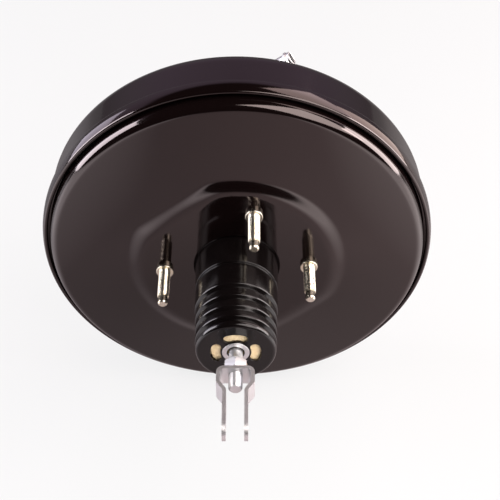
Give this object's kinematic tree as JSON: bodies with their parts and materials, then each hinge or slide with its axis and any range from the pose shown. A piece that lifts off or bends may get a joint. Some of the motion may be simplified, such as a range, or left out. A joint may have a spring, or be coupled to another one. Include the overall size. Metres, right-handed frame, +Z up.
{
  "type": "brake booster",
  "caption": "Vacuum brake booster: round black steel shell, bellows boot, studs, push rod with fork, spring-returned piston, control valve and hose nipple.",
  "frame": {"origin": "on the booster's axis, at the face of the pad that bears on the bulkhead", "axes": "+Y forward along the push rods towards the master cylinder, +Z up, +X to the right seen from the pedal"},
  "size_m": [0.274, 0.2499, 0.274],
  "materials": {
    "painted_steel": "gloss black paint",
    "zinc_plated_steel": "bright zinc plate",
    "yellow_zinc_steel": "zinc plate with a faint yellow passivation",
    "plain_steel": "oiled pressed steel",
    "spring_steel": "phosphated spring wire",
    "boot_rubber": "semi-gloss moulded EPDM",
    "seal_rubber": "matt moulded rubber",
    "diaphragm_rubber": "matt rubber on fabric",
    "phenolic": "moulded thermoset",
    "nylon": "natural nylon",
    "valve_plastic": "black glass-filled nylon",
    "filter_foam": "open-cell foam, cream",
    "filter_felt": "pressed felt"
  },
  "bodies": {
    "housing": {"front_shell": "painted_steel", "rear_shell": "painted_steel", "rear_reinforcement_plate": "plain_steel", "bulkhead_studs": "yellow_zinc_steel", "front_reinforcement_plate": "plain_steel", "master_cylinder_studs": "yellow_zinc_steel", "hub_bush": "nylon", "hub_seal": "seal_rubber", "hub_seal_retainer": "plain_steel", "front_seal": "seal_rubber", "return_spring": "spring_steel", "boot": "boot_rubber", "check_valve_grommet": "seal_rubber"},
    "power_piston": {"valve_body": "phenolic", "diaphragm_plate": "plain_steel", "diaphragm": "diaphragm_rubber", "plate_retainer": "plain_steel", "reaction_disc": "seal_rubber", "output_rod": "zinc_plated_steel", "output_rod_screw": "zinc_plated_steel", "stop_key": "plain_steel", "poppet_valve": "seal_rubber", "poppet_retainer": "plain_steel", "poppet_spring": "spring_steel", "air_filter": "filter_foam", "filter_silencer": "filter_felt"},
    "plunger": {"valve_plunger": "plain_steel"},
    "rod_ball_cup": {"ball_cup": "nylon"},
    "input_rod": {"input_rod": "zinc_plated_steel", "input_spring_seat": "plain_steel", "input_return_spring": "spring_steel", "lock_nut": "zinc_plated_steel", "clevis": "zinc_plated_steel", "boot_end_ring": "zinc_plated_steel"},
    "check_valve": {"check_valve_base": "valve_plastic", "check_valve_cap": "valve_plastic", "check_valve_nipple": "zinc_plated_steel", "check_valve_spring": "spring_steel"},
    "check_valve_disc": {"check_valve_disc": "seal_rubber"}
  },
  "joints": [
    {"name": "power_piston_travel", "type": "slide", "parent": "housing", "child": "power_piston", "axis": [0, 1, 0], "range_m": [0, 0.032], "stiffness_N_per_m": 1500, "springref_m": -0.06, "deforming": ["return_spring", "diaphragm", "boot"]},
    {"name": "valve_plunger_travel", "type": "slide", "parent": "power_piston", "child": "plunger", "axis": [0, 1, 0], "range_m": [0, 0.0013], "stiffness_N_per_m": 2500, "springref_m": -0.012, "deforming": ["input_return_spring", "poppet_valve", "poppet_spring"]},
    {"name": "input_rod_turn", "type": "hinge", "parent": "plunger", "child": "rod_ball_cup", "pos_m": [0, -0.0072, 0], "axis": [0, 1, 0], "continuous": true},
    {"name": "input_rod_tilt", "type": "hinge", "parent": "rod_ball_cup", "child": "input_rod", "pos_m": [0, -0.0072, 0], "axis": [1, 0, 0], "range_deg": [-2.5, 2.5], "stiffness_Nm_per_rad": 12},
    {"name": "check_valve_swivel", "type": "hinge", "parent": "housing", "child": "check_valve", "pos_m": [0.0065, 0.07, 0.096], "axis": [0, 1, 0], "continuous": true},
    {"name": "check_valve_disc_lift", "type": "slide", "parent": "check_valve", "child": "check_valve_disc", "axis": [0, 1, 0], "range_m": [0, 0.002], "stiffness_N_per_m": 30, "springref_m": -0.004, "deforming": ["check_valve_spring"]}
  ]
}
